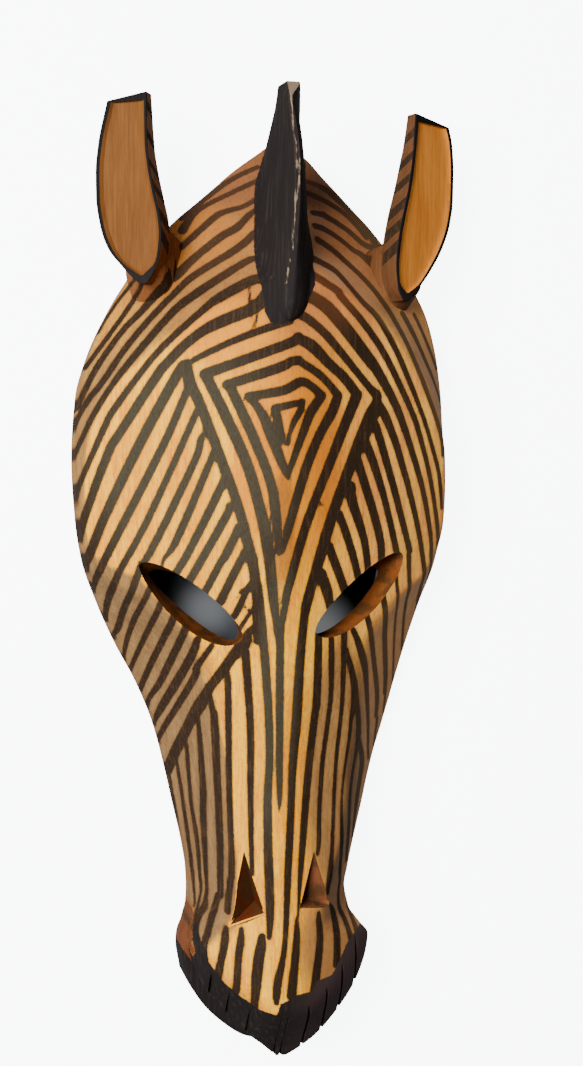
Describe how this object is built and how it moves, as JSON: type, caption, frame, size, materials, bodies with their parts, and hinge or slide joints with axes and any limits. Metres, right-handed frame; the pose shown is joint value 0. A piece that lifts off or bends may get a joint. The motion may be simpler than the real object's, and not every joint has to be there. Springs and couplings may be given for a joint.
{
  "type": "carved wooden zebra mask",
  "caption": "Long carved zebra face mask with upright ears, almond eye holes, a fluted muzzle and a hollow back, decorated with burnt stripes.",
  "frame": {"origin": "centre of the mask's outline on the flat plane of its back rim, where it lies on a table", "axes": "+Y along the face from the muzzle to the crown, +Z out of the back towards the front of the face, +X to the right as the face is looked at"},
  "size_m": [0.2057, 0.5048, 0.1],
  "materials": {
    "carved_wood": "pale wood with burnt near-black stripes under a worn satin varnish"
  },
  "bodies": {
    "root": {"carved_mask": "carved_wood"}
  },
  "joints": []
}
